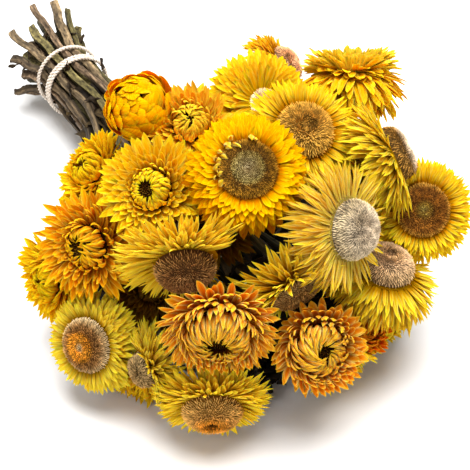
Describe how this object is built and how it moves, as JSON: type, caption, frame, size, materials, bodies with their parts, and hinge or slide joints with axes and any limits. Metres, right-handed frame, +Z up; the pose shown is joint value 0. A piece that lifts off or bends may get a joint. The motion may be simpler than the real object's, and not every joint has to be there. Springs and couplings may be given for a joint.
{
  "type": "dried strawflower bunch",
  "caption": "Bunch of dried strawflowers lying down: papery yellow and orange heads, some with domed brown discs, on stiff stems tied with string.",
  "frame": {"origin": "middle of the flat spot under the lowest head, on the table that the bunch lies on", "axes": "+Y from the heads along the stems to their cut ends, +Z up from the table, +X to the right when looking from the heads to the cut ends"},
  "size_m": [0.1985, 0.311, 0.1286],
  "materials": {
    "lemon_bracts": "satin",
    "amber_bracts": "satin",
    "florets": "matte",
    "stems": "matte",
    "string": "matte"
  },
  "bodies": {
    "root": {"bracts_amber_front": "amber_bracts", "bracts_amber_left": "amber_bracts", "bracts_amber_right": "amber_bracts", "bracts_back": "lemon_bracts", "bracts_brown_dome": "lemon_bracts", "bracts_centre": "lemon_bracts", "bracts_dark_disc": "lemon_bracts", "bracts_far_back": "lemon_bracts", "bracts_far_right": "lemon_bracts", "bracts_front_dome": "lemon_bracts", "bracts_gap_orange": "amber_bracts", "bracts_gold_ball": "amber_bracts", "bracts_inner_left": "lemon_bracts", "bracts_inner_middle": "lemon_bracts", "bracts_left_disc": "lemon_bracts", "bracts_lemon_cup": "lemon_bracts", "bracts_low_back_left": "lemon_bracts", "bracts_low_back_right": "lemon_bracts", "bracts_low_dome": "lemon_bracts", "bracts_low_yellow": "lemon_bracts", "bracts_orange_mid": "amber_bracts", "bracts_pale_dome": "lemon_bracts", "bracts_red_bud": "amber_bracts", "bracts_right_side": "lemon_bracts", "bracts_rim_left": "lemon_bracts", "bracts_saddle": "lemon_bracts", "bracts_small_dome": "lemon_bracts", "bracts_top_left": "lemon_bracts", "bracts_top_orange": "amber_bracts", "bracts_top_right": "lemon_bracts", "bracts_tucked_dome": "lemon_bracts", "bracts_under_left": "lemon_bracts", "bracts_under_middle": "lemon_bracts", "bracts_under_right": "lemon_bracts", "bracts_upper_left": "lemon_bracts", "disc_brown_dome": "florets", "disc_centre": "florets", "disc_dark_disc": "florets", "disc_front_dome": "florets", "disc_left_disc": "florets", "disc_low_dome": "florets", "disc_pale_dome": "florets", "disc_right_side": "florets", "disc_saddle": "florets", "disc_small_dome": "florets", "disc_top_left": "florets", "disc_top_orange": "florets", "disc_top_right": "florets", "disc_tucked_dome": "florets", "disc_under_middle": "florets", "stem_amber_left": "stems", "stem_bundle": "stems", "stem_far_back": "stems", "stem_front_dome": "stems", "stem_gold_ball": "stems", "stem_rim_left": "stems", "stem_small_dome": "stems", "stem_top_orange": "stems", "stem_top_right": "stems", "string": "string"}
  },
  "joints": []
}
